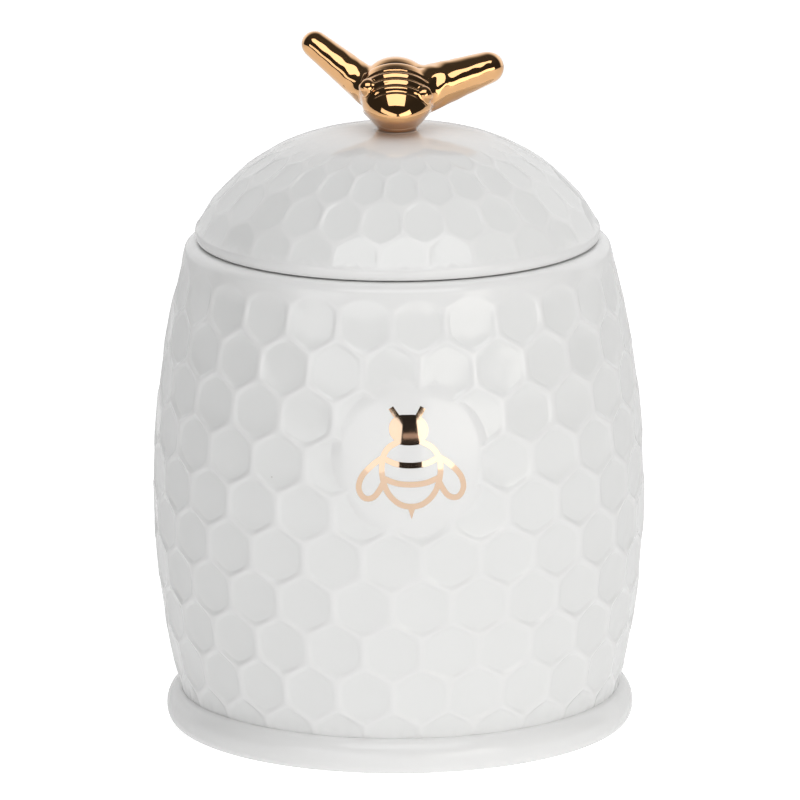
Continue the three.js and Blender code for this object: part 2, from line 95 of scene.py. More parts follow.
COLUMNS = 26
JAR_ROWS = 12
JAR_ROW_PITCH = 10.04 * MM
JAR_TOP_ROW_DROP = 8.15 * MM  # rim to the middle of the uppermost whole row
JAR_TURN = radians(5.2)
JAR_FADE_TOP = (101.6 * MM, 97.5 * MM)  # the cells run out between these levels
JAR_FADE_FOOT = (7.3 * MM, 8.3 * MM)
JAR_SEED = 4
RIDGE_SHARE = 0.2  # part of a cell, from the middle of a ridge inwards, that slopes
HOLLOW_DEPTH = 0.5 * MM
CELL_LEAN = 0.018  # how far the hand-cut mould's facets lean, in radians
CELL_SIDE_PARTS = 4
CELL_SLOPE_RINGS = 5
CELL_FLOOR_RING = 0.5
CELL_ROUND = 0.75  # 0 leaves a floor six-cornered, 1 makes it an oval
CELL_ASPECT = 1.6  # row pitch over half a column
CELL_OVAL = 0.97  # radius of that oval, in half columns
WELD = 0.01 * MM  # points of neighbouring cells closer than this are one

MEDALLION_LEVEL = 68.5 * MM
MEDALLION_TURN = radians(2.9)
MEDALLION_BACK = -2.2 * MM
MEDALLION_PARTS = 144
# Distance from the medallion's middle and height over the ridges: a smooth field with a softly rounded edge.
MEDALLION_PROFILE = np.array([
    *((distance, 0.04) for distance in (0, 2, 4, 6, 8, 10, 12, 13.3)), (13.9, 0.03), (14.4, 0), (14.8, -0.06),
    (15.2, -0.14), (15.6, -0.24), (16, -0.35), (16.4, -0.47), (16.8, -0.6), (17.2, -0.8), (17.4, -1.1),
]) * MM


def side_radius(level):
    """Radius of the jar's side over the ridges: it draws in as the square of the distance from the belly."""
    above = level > BELLY_LEVEL
    reach = np.where(above, JAR_HEIGHT - BELLY_LEVEL, BELLY_LEVEL - FOOT_HEIGHT)
    draw_in = np.where(above, BELLY_RADIUS - SHOULDER_RADIUS, BELLY_RADIUS - WAIST_RADIUS)
    return BELLY_RADIUS - draw_in * ((level - BELLY_LEVEL) / reach) ** 2


def around(radius, level, turn):
    """Point at a radius and a level. The turn is counted from the front, positive to the right."""
    return radius * sin(turn), -radius * cos(turn), level


def arc_lengths(path):
    """Distance along a path of (radius, level) points to each of its points."""
    path = np.array(path)
    steps = np.hypot(*np.diff(path, axis=0).T)
    return np.concatenate([[0], np.cumsum(steps)])


def rounded(corners, parts=6):
    """Path through (radius, level, rounding) corners, with an arc at each one that has a rounding."""
    path = []
    for i, (radius, level, rounding) in enumerate(corners):
        corner = Vector((radius, level))
        if not rounding:
            path.append(tuple(corner))
            continue
        before = (Vector(corners[i - 1][:2]) - corner).normalized()
        after = (Vector(corners[(i + 1) % len(corners)][:2]) - corner).normalized()
        half = before.angle(after) / 2
        reach = rounding / tan(half)
        centre = corner + (before + after).normalized() * (rounding / sin(half))
        start = corner + before * reach - centre
        end = corner + after * reach - centre
        sweep = start.angle_signed(end)
        for step in range(parts + 1):
            turn = -sweep * step / parts
            path.append(tuple(centre + Matrix.Rotation(turn, 2) @ start))
    return path


def quarter(start, end, parts=8, level_first=False):
    """Points of a quarter ellipse between two (radius, level) points, without its first point."""
    path = []
    for step in range(1, parts + 1):
        angle = step / parts * pi / 2
        shares = (1 - cos(angle), sin(angle))
        across, up = shares if not level_first else shares[::-1]
        path.append((start[0] + (end[0] - start[0]) * across, start[1] + (end[1] - start[1]) * up))
    return path


def to_linear(colour):
    """Linear RGBA of an sRGB hex colour."""
    parts = [int(colour[i : i + 2], 16) / 255 for i in (1, 3, 5)]
    return (*(p / 12.92 if p <= 0.04045 else ((p + 0.055) / 1.055) ** 2.4 for p in parts), 1)


def fill(tree, node, inputs):
    """Links or sets some of a node's inputs."""
    for key, value in inputs.items():
        if isinstance(value, bpy.types.NodeSocket):
            tree.links.new(value, node.inputs[key])
        else:
            node.inputs[key].default_value = value


def add(tree, kind, inputs=None, **settings):
    """Adds a node, sets its settings, and links or sets its inputs."""
    node = tree.nodes.new(kind)
    for name, value in settings.items():
        setattr(node, name, value)
    fill(tree, node, inputs or {})
    return node


def maths(tree, operation, *values):
    """Result of a maths node."""
    return add(tree, "ShaderNodeMath", dict(enumerate(values)), operation=operation).outputs[0]


def vector_maths(tree, operation, *values):
    """Result of a vector maths node, which is a number for a dot product."""
    result = "Value" if operation == "DOT_PRODUCT" else "Vector"
    return add(tree, "ShaderNodeVectorMath", dict(enumerate(values)), operation=operation).outputs[result]


def ranged(tree, value, start, end, low, high, **settings):
    """A value carried from the range between start and end to the range between low and high."""
    inputs = dict(enumerate((value, start, end, low, high)))
    return add(tree, "ShaderNodeMapRange", inputs, **settings).outputs[0]


def mixed(tree, share, *colours):
    """Mix of two colours, each of which is a hex colour or a socket."""
    first, second = (to_linear(colour) if isinstance(colour, str) else colour for colour in colours)
    return add(tree, "ShaderNodeMix", {0: share, 6: first, 7: second}, data_type="RGBA").outputs[2]


def noise(tree, place, size, detail):
    """Cloudy noise with patches of about this size."""
    inputs = {"Vector": place, "Scale": 1 / size, "Detail": detail}
    return add(tree, "ShaderNodeTexNoise", inputs).outputs["Fac"]


def stored(tree, geometry, name, value, kind="FLOAT_VECTOR"):
    """Geometry with a named attribute added."""
    inputs = {"Geometry": geometry, "Name": name, "Value": value}
    return add(tree, "GeometryNodeStoreNamedAttribute", inputs, data_type=kind).outputs[0]


def recalled(tree, name, kind="FLOAT_VECTOR"):
    """The value of a named attribute."""
    return add(tree, "GeometryNodeInputNamedAttribute", {"Name": name}, data_type=kind).outputs[0]


def new_material(name):
    """A material with its node tree, its shader, and each point's place on the object."""
    material = bpy.data.materials.new(name)
    material.use_nodes = True
    tree = material.node_tree
    place = add(tree, "ShaderNodeTexCoord").outputs["Object"]
    return material, tree, tree.nodes["Principled BSDF"], place


def link_object(name, data, *materials):
    """Adds an object to the scene, with its materials."""
    piece = bpy.data.objects.new(name, data)
    scene.collection.objects.link(piece)
    for material in materials:
        data.materials.append(material)
    return piece


def evaluated_mesh(piece):
    """Plain mesh of an object as its modifiers leave it. The object is removed."""
    ready = piece.evaluated_get(bpy.context.evaluated_depsgraph_get())
    mesh = bpy.data.meshes.new_from_object(ready)
    bpy.data.objects.remove(piece)
    return mesh


def glazed_porcelain():
    """Glazed porcelain: a hard white body under clear, glossy, slightly wavy glaze, fuller in the hollows."""
    material, tree, shader, place = new_material("glazed_porcelain")
    white = mixed(tree, noise(tree, place, 35 * MM, 3), "#F0F0F0", "#ECECEB")
    hollow = add(tree, "ShaderNodeAttribute", attribute_name="hollow").outputs["Fac"]
    glaze = mixed(tree, maths(tree, "MULTIPLY", hollow, 0.5), white, "#E9EAE9")
    # Rare, faint specks of iron, about a third of a millimetre across.
    cells = add(tree, "ShaderNodeTexVoronoi", {"Vector": place, "Scale": 1 / (11 * MM)}).outputs
    rare = maths(tree, "GREATER_THAN", cells["Color"], 0.82)
    near = ranged(tree, cells["Distance"], 0.012, 0.022, 0.3, 0)
    colour = mixed(tree, maths(tree, "MULTIPLY", rare, near), glaze, "#8A8074")
    gloss = ranged(tree, noise(tree, place, 12 * MM, 2), 0, 1, 0.09, 0.17)
    waves = noise(tree, place, 7 * MM, 2)
    bump = add(tree, "ShaderNodeBump", {"Height": waves, "Strength": 0.5, "Distance": 0.2 * MM}).outputs[0]
    fill(tree, shader, {"Base Color": colour, "Roughness": gloss, "Normal": bump, "IOR": 1.52})
    return material


def honeycomb_tree():
    """Repeats a cell on staggered rows and wraps them round a profile, with each cell's floor sunk flat."""
    tree = bpy.data.node_groups.new("honeycomb", "GeometryNodeTree")
    sockets = {
        "Geometry": ["Cell"],
        "Object": ["Profile"],
        "Int": ["Columns", "Rows", "Seed"],
        "Float": [
            "Row pitch", "First row", "Turn", "Hollow depth", "Lean", "Foot fade from", "Foot fade to",
            "Top fade from", "Top fade to",
        ],
    }
    for kind, names in sockets.items():
        for name in names:
            tree.interface.new_socket(name, in_out="INPUT", socket_type=f"NodeSocket{kind}")
    tree.interface.new_socket("Skin", in_out="OUTPUT", socket_type="NodeSocketGeometry")
    sizes = add(tree, "NodeGroupInput").outputs

    # Middles of the cells, counted in half columns and rows. Every second row is moved by half a column.
    count = maths(tree, "MULTIPLY", sizes["Columns"], sizes["Rows"])
    index = add(tree, "GeometryNodeInputIndex").outputs[0]
    column = maths(tree, "MODULO", index, sizes["Columns"])
    row = maths(tree, "FLOOR", maths(tree, "DIVIDE", index, sizes["Columns"]))
    half = maths(tree, "MULTIPLY_ADD", column, 2, maths(tree, "MODULO", row, 2))
    spot = add(tree, "ShaderNodeCombineXYZ", {0: half, 1: row}).outputs[0]
    points = add(tree, "GeometryNodePoints", {"Count": count, "Position": spot}).outputs[0]
    own_place = add(tree, "GeometryNodeInputPosition").outputs[0]
    marked = stored(tree, points, "middle", own_place)
    least = maths(tree, "MULTIPLY", sizes["Lean"], -1)
    inputs = {"Min": least, "Max": sizes["Lean"], "Seed": sizes["Seed"]}
    any_lean = add(tree, "FunctionNodeRandomValue", inputs, data_type="FLOAT_VECTOR")
    leaning = stored(tree, marked, "lean", any_lean.outputs[0])
    cells = add(tree, "GeometryNodeInstanceOnPoints", {"Points": leaning, "Instance": sizes["Cell"]})
    sheet = add(tree, "GeometryNodeRealizeInstances", {"Geometry": cells.outputs[0]}).outputs[0]

    # Place and outward direction on the profile, for each point and for the middle of its cell.
    profile = add(tree, "GeometryNodeObjectInfo", {"Object": sizes["Profile"]}).outputs["Geometry"]
    half_step = maths(tree, "DIVIDE", pi, sizes["Columns"])
    from_front = maths(tree, "SUBTRACT", sizes["Turn"], pi / 2)
    turned = []
    for point in (own_place, recalled(tree, "middle")):
        parts = add(tree, "ShaderNodeSeparateXYZ", {0: point}).outputs
        along = maths(tree, "MULTIPLY_ADD", parts["Y"], sizes["Row pitch"], sizes["First row"])
        turn = maths(tree, "MULTIPLY_ADD", parts["X"], half_step, from_front)
        inputs = {"Curves": profile, "Length": along}
        sample = add(tree, "GeometryNodeSampleCurve", inputs, mode="LENGTH").outputs
        sideways = vector_maths(tree, "CROSS_PRODUCT", (0, 1, 0), sample["Tangent"])
        for vector in (sample["Position"], sideways):
            inputs = {"Vector": vector, "Angle": turn}
            turned.append(add(tree, "ShaderNodeVectorRotate", inputs, rotation_type="Z_AXIS").outputs[0])
    crest, _, cell_middle, cell_outward = turned

    # The floor is the plane through the cell's sunk middle, square to its own outward direction and its lean.
    tipped = vector_maths(tree, "ADD", cell_outward, recalled(tree, "lean"))
    outward = vector_maths(tree, "NORMALIZE", tipped)
    from_middle = vector_maths(tree, "SUBTRACT", crest, cell_middle)
    height = vector_maths(tree, "DOT_PRODUCT", from_middle, outward)
    drop = maths(tree, "ADD", height, sizes["Hollow depth"])
    floor = vector_maths(tree, "SUBTRACT", crest, vector_maths(tree, "MULTIPLY", outward, drop))

    # How much of the drop each point takes: none on a crest, all on the floor, none past the fades.
    level = add(tree, "ShaderNodeSeparateXYZ", {0: crest}).outputs["Z"]
    share = 1
    for value, start, end in (
        (recalled(tree, "slope", "FLOAT"), 1, 0),
        (level, sizes["Foot fade from"], sizes["Foot fade to"]),
        (level, sizes["Top fade from"], sizes["Top fade to"]),
    ):
        step = ranged(tree, value, start, end, 0, 1, interpolation_type="SMOOTHSTEP")
        share = maths(tree, "MULTIPLY", share, step)
    settled = add(tree, "ShaderNodeMix", {0: share, 4: crest, 5: floor}, data_type="VECTOR").outputs[1]
    shown = stored(tree, sheet, "hollow", share, "FLOAT")
    wrapped = add(tree, "GeometryNodeSetPosition", {"Geometry": shown, "Position": settled}).outputs[0]
    joined = add(tree, "GeometryNodeMergeByDistance", {"Geometry": wrapped, "Distance": WELD}).outputs[0]
    add(tree, "NodeGroupOutput", {0: joined})
    return tree


def bridge(shell, first, second):
    """Faces between two rings of points, each of which can be a single point."""
    for i in range(max(len(first), len(second))):
        near, far = ([ring[i - 1], ring[i]] if len(ring) > 1 else ring for ring in (first, second))
        shell.faces.new(near + far[::-1])


def hexagon_cell():
    """One cell in half columns and row pitches, as rings from its middle to the crest of the ridges."""
    mesh = bpy.data.meshes.new("hexagon_cell")
    shell = bmesh.new()
    slope = shell.verts.layers.float.new("slope")
    corners = [Vector((sin(k * pi / 3) / sin(pi / 3), cos(k * pi / 3) * 2 / 3, 0)) for k in range(7)]
    parts = [part / CELL_SIDE_PARTS for part in range(CELL_SIDE_PARTS)]
    rim = [start.lerp(end, part) for start, end in zip(corners, corners[1:]) for part in parts]
    rim_reach = [hypot(point.x, point.y * CELL_ASPECT) for point in rim]
    floor_share = 1 - RIDGE_SHARE
    rings = [(floor_share * CELL_FLOOR_RING, 0), (floor_share, 0)]
    for ring in range(1, CELL_SLOPE_RINGS + 1):
        up = ring / CELL_SLOPE_RINGS
        rings.append((floor_share + RIDGE_SHARE * up, up))
    inner = [shell.verts.new((0, 0, 0))]
    for share, up in rings:
        rounding = CELL_ROUND * (1 - up)
        outer = [
            shell.verts.new(point * share * (1 - rounding * (1 - CELL_OVAL / reach)))
            for point, reach in zip(rim, rim_reach)
        ]
        for vertex in outer:
            vertex[slope] = up
        bridge(shell, outer, inner)
        inner = outer
    shell.to_mesh(mesh)
    shell.free()
    return mesh


def honeycomb_skin(path, rows, pitch, first_row, turn, depth, seed, foot_fade, top_fade):
    """Mesh of the honeycomb laid round a profile path. The fades are the levels where its hollows run out."""
    curve = bpy.data.curves.new("profile", "CURVE")
    curve.dimensions = "3D"
    line = curve.splines.new("POLY")
    line.points.add(len(path) - 1)
    for point, (radius, level) in zip(line.points, path):
        point.co = (radius, 0, level, 1)
    profile = link_object("profile", curve)
    skin = link_object("skin", hexagon_cell())
    modifier = skin.modifiers.new("honeycomb", "NODES")
    modifier.node_group = honeycomb
    # In the order of the tree's sockets, after the cell.
    values = [profile, COLUMNS, rows, seed, pitch, first_row, turn, depth, CELL_LEAN]
    sockets = [item.identifier for item in honeycomb.interface.items_tree if item.in_out == "INPUT"]
    for socket, value in zip(sockets[1:], [*values, *foot_fade, *top_fade]):
        modifier[socket] = value
    mesh = evaluated_mesh(skin)
    bpy.data.objects.remove(profile)
    return mesh


def cut_through(shell, place, normal, clear_outer=False):
    """Cuts a shell's faces along a plane, and clears what lies past it if asked to."""
    everything = [*shell.verts, *shell.edges, *shell.faces]
    bmesh.ops.bisect_plane(shell, geom=everything, plane_co=place, plane_no=normal, clear_outer=clear_outer)


def trimmed(mesh, low, high):
    """Shell of a skin cut off level at two heights."""
    shell = bmesh.new()
    shell.from_mesh(mesh)
    for level, side in ((low, -1), (high, 1)):
        cut_through(shell, (0, 0, level), (0, 0, side), clear_outer=True)
    bmesh.ops.remove_doubles(shell, verts=shell.verts, dist=0.02 * MM)
    return shell


def carried_on(shell, level, path):
    """Carries a skin's open edge at a level on along a path of (radius, level) points, down to the axis."""
    edge = [v for v in shell.verts if v.is_boundary and abs(v.co.z - level) < 0.05 * MM]
    edge.sort(key=lambda v: atan2(v.co.x, -v.co.y))
    turns = [atan2(v.co.x, -v.co.y) for v in edge]
    for radius, height in path:
        ring = [shell.verts.new(around(radius, height, turn)) for turn in (turns if radius else [0])]
        bridge(shell, edge, ring)
        edge = ring


def finished_shell(shell, name, sharp_from):
    """Mesh of a closed shell, facing outwards, smooth but for edges sharper than an angle."""
    bmesh.ops.recalc_face_normals(shell, faces=shell.faces)
    mesh = bpy.data.meshes.new(name)
    shell.to_mesh(mesh)
    shell.free()
    mesh.shade_smooth()
    mesh.set_sharp_from_angle(angle=sharp_from)
    return mesh


def medallion_disc():
    """The smooth round patch on the front, as a closed disc that reaches into the wall."""
    shell = bmesh.new()

    def on_side(distance, rise, angle):
        level = MEDALLION_LEVEL + distance * cos(angle)
        radius = float(side_radius(level)) + rise
        turn = asin(distance * sin(angle) / radius)
        return shell.verts.new(around(radius, level, MEDALLION_TURN + turn))

    angles = [2 * pi * part / MEDALLION_PARTS for part in range(MEDALLION_PARTS)]
    inner = [on_side(0, MEDALLION_PROFILE[0][1], 0)]
    for distance, rise in [*MEDALLION_PROFILE[1:], (MEDALLION_PROFILE[-1][0], MEDALLION_BACK)]:
        outer = [on_side(distance, rise, angle) for angle in angles]
        bridge(shell, inner, outer)
        inner = outer
    bridge(shell, inner, [on_side(0, MEDALLION_BACK, 0)])
    return finished_shell(shell, "medallion", radians(60))


def united(name, meshes):
    """One mesh with the outer surface of several closed ones."""
    whole = link_object(name, meshes[0])
    cutters = [link_object(f"{name}_part", mesh) for mesh in meshes[1:]]
    for cutter in cutters:
        union = whole.modifiers.new("union", "BOOLEAN")
        union.operation = "UNION"
        union.solver = "MANIFOLD"
        union.object = cutter
    mesh = evaluated_mesh(whole)
    for cutter in cutters:
        bpy.data.objects.remove(cutter)
    return mesh


porcelain = glazed_porcelain()
honeycomb = honeycomb_tree()

# The profile runs a little past both ends of the side, so that whole cells can be laid and then trimmed.
PROFILE_STEPS = 240
levels = np.linspace(-14 * MM, JAR_HEIGHT + 8 * MM, PROFILE_STEPS)
jar_profile = np.stack([side_radius(levels), levels], axis=1)
top_row_along = np.interp(JAR_HEIGHT - JAR_TOP_ROW_DROP, levels, arc_lengths(jar_profile))
first_row = top_row_along - (JAR_ROWS - 2) * JAR_ROW_PITCH
jar_skin = honeycomb_skin(
    jar_profile, JAR_ROWS, JAR_ROW_PITCH, first_row, JAR_TURN, HOLLOW_DEPTH, JAR_SEED,
    JAR_FADE_FOOT, JAR_FADE_TOP,
)
SKIN_FOOT = JAR_FADE_FOOT[0]
SKIN_TOP = JAR_HEIGHT - SHOULDER_ROUND
MOUTH_RADIUS = SHOULDER_RADIUS - JAR_WALL
jar_shell = trimmed(jar_skin, SKIN_FOOT, SKIN_TOP)

WALL_STEPS = 20
inner_levels = np.linspace(JAR_HEIGHT - THROAT_DEPTH - THROAT_BLEND, FLOOR_LEVEL + FLOOR_ROUND, WALL_STEPS)
inner_side = [(float(side_radius(level)) - JAR_WALL, level) for level in inner_levels]
throat = rounded([
    (MOUTH_RADIUS + RIM_WIDTH, JAR_HEIGHT, 0),
    (MOUTH_RADIUS, JAR_HEIGHT, RIM_ROUND),
    (MOUTH_RADIUS, JAR_HEIGHT - THROAT_DEPTH, THROAT_ROUND),
    (*inner_side[0], THROAT_ROUND),
    (*inner_side[1], 0),
])
shoulder_start = (float(side_radius(SKIN_TOP)), SKIN_TOP)
carried_on(
    jar_shell,
    SKIN_TOP,
    quarter(shoulder_start, (SHOULDER_RADIUS - SHOULDER_ROLL, JAR_HEIGHT))
    + throat
    + inner_side[2:]
    + quarter(inner_side[-1], (inner_side[-1][0] - FLOOR_ROUND, FLOOR_LEVEL))
    + [(inner_side[-1][0] * share, FLOOR_LEVEL) for share in (0.5, 0)],
)
recess_radius = STANDING_RADIUS - STANDING_WIDTH
flange_start = (FLANGE_TOP_RADIUS, FLANGE_TOP - FLANGE_CORNER[1])
carried_on(
    jar_shell,
    SKIN_FOOT,
    [(FLANGE_TOP_RADIUS - FLANGE_CORNER[0], FLANGE_TOP), flange_start]
    + quarter(flange_start, (FLANGE_RADIUS, FLANGE_WIDEST_LEVEL), level_first=True)
    + quarter((FLANGE_RADIUS, FLANGE_WIDEST_LEVEL), (STANDING_RADIUS, 0))
    + rounded([
        (STANDING_RADIUS - STANDING_WIDTH / 2, 0, 0),
        (recess_radius, 0, RECESS_ROUND),
        (recess_radius - RECESS_DEPTH, RECESS_DEPTH, RECESS_ROUND),
        (recess_radius / 2, RECESS_DEPTH, 0),
        (0, RECESS_DEPTH, 0),
    ]),
)
JAR_SHARP = radians(38)
jar_mesh = finished_shell(jar_shell, "glazed_jar", JAR_SHARP)
jar_mesh = united("jar_and_medallion", [jar_mesh, medallion_disc()])
jar_mesh.materials.clear()  # the union leaves an empty slot
jar_mesh.shade_smooth()
jar_mesh.set_sharp_from_angle(angle=JAR_SHARP)
jar = link_object("glazed_jar", jar_mesh, porcelain)
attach(jar, "jar")
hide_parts("jar_body")


# Gold bee on the medallion. The real one is a print of bright rose gold fired on the glaze, a film of lustre
# with no thickness to see. Here it stands a few hundredths of a millimetre out of the glaze and reaches a
# little into it.
EMBLEM_WIDTH = 23.4 * MM
EMBLEM_HEIGHT = 24.5 * MM
EMBLEM_DROP = 0.25 * MM
EMBLEM_LEAN = 0.07  # the upper half of the print leans a little to the left
EMBLEM_STROKE = 1.2 * MM
PRINT_FACE = 0.05 * MM  # over the glaze
PRINT_BACK = -0.06 * MM
PRINT_GRID = 0.8 * MM  # the film is cut this fine to follow the round side
STROKE_PARTS = 28

# Points of the left half, as shares of the width and the height from the middle of the bee.
HEAD = [
    (0, 0.395), (-0.075, 0.392), (-0.13, 0.365), (-0.165, 0.32), (-0.175, 0.27), (-0.165, 0.22),
    (-0.13, 0.175), (-0.09, 0.145), (0, 0.135),
]
ANTENNA = [(-0.088, 0.37), (-0.118, 0.415), (-0.143, 0.455)]
ABDOMEN = [
    (-0.1, 0.17), (-0.2, 0.11), (-0.255, 0.01), (-0.257, -0.13), (-0.21, -0.27), (-0.11, -0.365), (0, -0.39),
]
BANDS = [
    [(-0.245, 0.025), (-0.13, -0.023), (0, -0.037)],
    [(-0.25, -0.145), (-0.13, -0.188), (0, -0.2)],
]
WING_LOOP = [
    (-0.235, 0.04), (-0.33, -0.02), (-0.44, -0.13), (-0.47, -0.24), (-0.42, -0.318), (-0.34, -0.31),
    (-0.28, -0.24), (-0.235, -0.15),
]
STING = [(-0.04, -0.38), (0, -0.5), (0.04, -0.38)]


def mirrored(points):
    return [(-across, up) for across, up in reversed(points)]


def both_halves(points):
    return points + mirrored(points)[1:]


def smooth_line(points, parts):
    """Evenly spaced points on a smooth curve (Catmull and Rom's) through some points."""
    knots = np.array([points[0], *points, points[-1]], float)
    knots[0] = 2 * knots[1] - knots[2]
    knots[-1] = 2 * knots[-2] - knots[-3]
    fine = []
    for a, b, c, d in zip(knots, knots[1:], knots[2:], knots[3:]):
        for t in np.linspace(0, 1, 20, endpoint=False):
            bend = (2 * a - 5 * b + 4 * c - d) * t**2 + (3 * b - a - 3 * c + d) * t**3
            fine.append(0.5 * (2 * b + (c - a) * t + bend))
    fine.append(knots[-2])
    fine = np.array(fine)
    lengths = arc_lengths(fine)
    spots = np.linspace(0, lengths[-1], parts + 1)
    return np.stack([np.interp(spots, lengths, fine[:, axis]) for axis in (0, 1)], axis=1)


def stroke(points, parts):
    """Outline of an even line along a smooth curve."""
    line = smooth_line(np.array(points) * (EMBLEM_WIDTH, EMBLEM_HEIGHT), parts)
    along = np.gradient(line, axis=0)
    across = np.stack([-along[:, 1], along[:, 0]], axis=1)
    across *= EMBLEM_STROKE / 2 / np.linalg.norm(across, axis=1, keepdims=True)
    return np.concatenate([line + across, (line - across)[::-1]])


def film(outline):
    """Closed flat film of an outline, from its back to its face."""
    shell = bmesh.new()
    back = [shell.verts.new((x, y, PRINT_BACK)) for x, y in outline]
    face = [shell.verts.new((x, y, PRINT_FACE)) for x, y in outline]
    shell.faces.new(back[::-1])
    shell.faces.new(face)
    bridge(shell, back, face)
    return finished_shell(shell, "film", radians(60))


def gilding(name, pale, deep, roughness):
    """Bright gold lustre fired over glaze: a metal mirror, cloudy where the film is thicker or thinner."""
    material, tree, shader, place = new_material(name)
    colour = mixed(tree, noise(tree, place, 6 * MM, 3), pale, deep)
    gloss = ranged(tree, noise(tree, place, 1.6 * MM, 3), 0, 1, *roughness)
    fill(tree, shader, {"Base Color": colour, "Roughness": gloss, "Metallic": 1})
    fill(tree, shader, {"Coat Weight": 1, "Coat Roughness": 0.02})
    return material


outlines = [stroke(both_halves(ABDOMEN), 2 * STROKE_PARTS)]
outlines += [stroke(both_halves(band), STROKE_PARTS) for band in BANDS]
for half in (lambda points: points, mirrored):
    outlines.append(stroke(half(WING_LOOP), STROKE_PARTS))
    outlines.append(stroke(half(ANTENNA), 4))
outlines.append(smooth_line(both_halves(HEAD), 2 * STROKE_PARTS)[:-1] * (EMBLEM_WIDTH, EMBLEM_HEIGHT))
outlines.append(np.array(STING) * (EMBLEM_WIDTH, EMBLEM_HEIGHT))
flat_bee = united("flat_bee", [film(outline) for outline in outlines])
bee_shell = bmesh.new()
bee_shell.from_mesh(flat_bee)
for axis, reach in ((0, EMBLEM_WIDTH), (1, EMBLEM_HEIGHT)):
    normal = Vector(np.eye(3)[axis])
    for cut in np.arange(-reach / 2, reach / 2, PRINT_GRID):
        cut_through(bee_shell, normal * cut, normal)
bmesh.ops.dissolve_degenerate(bee_shell, edges=bee_shell.edges, dist=0.001 * MM)
field_rise = MEDALLION_PROFILE[0][1]
for vertex in bee_shell.verts:
    across, up, rise = vertex.co
    across -= EMBLEM_LEAN * max(up, 0)
    level = MEDALLION_LEVEL - EMBLEM_DROP + up
    face = float(side_radius(level)) + field_rise
    vertex.co = around(face + rise, level, MEDALLION_TURN + across / face)
bee_mesh = finished_shell(bee_shell, "gold_bee_print", radians(60))
rose_gold = gilding("fired_gold_print", "#E4C6AC", "#DDBC9D", (0.02, 0.06))
bee_print = link_object("gold_bee_print", bee_mesh, rose_gold)
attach(bee_print, "jar")
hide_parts("bee_emblem")


# Lid. Cast of the same porcelain in one piece: a dome with four rows of honeycomb under a smooth crown, a
# thin lip that rests on the rim, and a collar with a groove for the seal. A small flat seat on the crown
# carries the bee.
LIP_UNDERSIDE = 104.65 * MM
LID_RADIUS = 43 * MM
LIP_HEIGHT = 1.7 * MM  # underside to the widest line
LIP_EDGE_ROUND = 0.6 * MM
LIP_BAND = 0.9 * MM
EDGE_FLAT = 0.3 * MM  # upright part of the lip's edge, under the widest line
DOME_RISE = 21.6 * MM
DOME_CROWN_POWER = 2.8
DOME_FLANK_POWER = 1.2
LID_WALL = 4.2 * MM
COLLAR_RADIUS = 38.7 * MM
COLLAR_INNER_RADIUS = 35.7 * MM
COLLAR_DEPTH = 9 * MM
COLLAR_ROUND = 0.6 * MM
COLLAR_ROOT_ROUND = 0.5 * MM
GROOVE_RADIUS = 37.7 * MM
GROOVE_TOP = 2.7 * MM  # below the lip's underside
GROOVE_BOTTOM = 6.3 * MM
GROOVE_ROUND = 0.25 * MM
LID_ROWS = 4
LID_ROW_PITCH = 9 * MM
LID_FIRST_ROW = 2.8 * MM
LID_TURN = radians(1.7)
LID_HOLLOW_DEPTH = 0.33 * MM
LID_SKIN_TOP = 33 * MM  # along the dome
LID_FADE_FOOT = (0.95 * MM, 2.4 * MM)  # over the widest line
LID_FADE_TOP = (31 * MM, 25 * MM)  # along the dome
LID_SEED = 9
SEAT_RADIUS = 4.9 * MM
SEAT_RISE = 0.1 * MM
SEAT_ROUND = 0.05 * MM
SEAT_SLOPE = 0.15 * MM  # how far its edge draws in
CROWN_END = 0.6 * MM  # the crown's skin ends this far outside the seat
DOME_STEPS = 300
HOLLOW_STEP = 12  # the hollow follows every twelfth step of the dome
HOLLOW_REACH = (0.5 * MM, COLLAR_INNER_RADIUS - 0.4 * MM)

widest_level = LIP_UNDERSIDE + LIP_HEIGHT
crown_level = widest_level + DOME_RISE
angles = np.linspace(0, pi / 2, DOME_STEPS)
dome = np.stack(
    [
        LID_RADIUS * np.cos(angles).clip(0) ** (2 / DOME_CROWN_POWER),
        widest_level + DOME_RISE * np.sin(angles) ** (2 / DOME_FLANK_POWER),
    ],
    axis=1,
)
dome[-1] = (0, crown_level)
dome_lengths = arc_lengths(dome)


def on_dome(distance):
    """(radius, level) at a distance along the dome from its widest line."""
    return tuple(float(np.interp(distance, dome_lengths, dome[:, axis])) for axis in (0, 1))


APRON = 10 * MM  # the profile runs straight down this far below the widest line
lid_profile = np.concatenate([[(LID_RADIUS, widest_level - APRON)], dome])
foot_fade = [widest_level + rise for rise in LID_FADE_FOOT]
top_fade = [on_dome(distance)[1] for distance in LID_FADE_TOP]
first_row = APRON + LID_FIRST_ROW
lid_skin = honeycomb_skin(
    lid_profile, LID_ROWS, LID_ROW_PITCH, first_row, LID_TURN, LID_HOLLOW_DEPTH, LID_SEED,
    foot_fade, top_fade,
)
lid_foot = widest_level + LIP_BAND
lid_top = on_dome(LID_SKIN_TOP)[1]
lid_shell = trimmed(lid_skin, lid_foot, lid_top)

